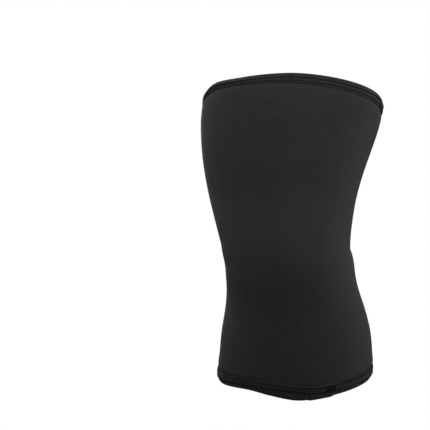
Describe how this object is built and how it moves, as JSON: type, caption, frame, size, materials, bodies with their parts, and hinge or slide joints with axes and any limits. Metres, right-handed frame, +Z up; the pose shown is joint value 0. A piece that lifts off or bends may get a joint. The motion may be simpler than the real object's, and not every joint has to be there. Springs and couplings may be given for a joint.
{
  "type": "knee sleeve",
  "caption": "Thick padded tube sleeve pre-bent for a knee, open at both ends, with a crease behind the knee and a folded, stitched tape binding round each rim.",
  "frame": {"origin": "middle of the knee: on the middle of the leg, level with the crease behind the knee", "axes": "+Z up the leg towards the thigh rim, -Y towards the kneecap, +Y towards the back of the knee, X across the knee"},
  "size_m": [0.1709, 0.177, 0.3024],
  "materials": {
    "neoprene_jersey": "matt black knitted nylon face on foam rubber",
    "binding_tape": "matt black ribbed elastic tape",
    "stitch_thread": "dull black sewing thread"
  },
  "bodies": {
    "root": {"neoprene_shell": "neoprene_jersey", "top_binding": "binding_tape", "bottom_binding": "binding_tape"}
  },
  "joints": []
}
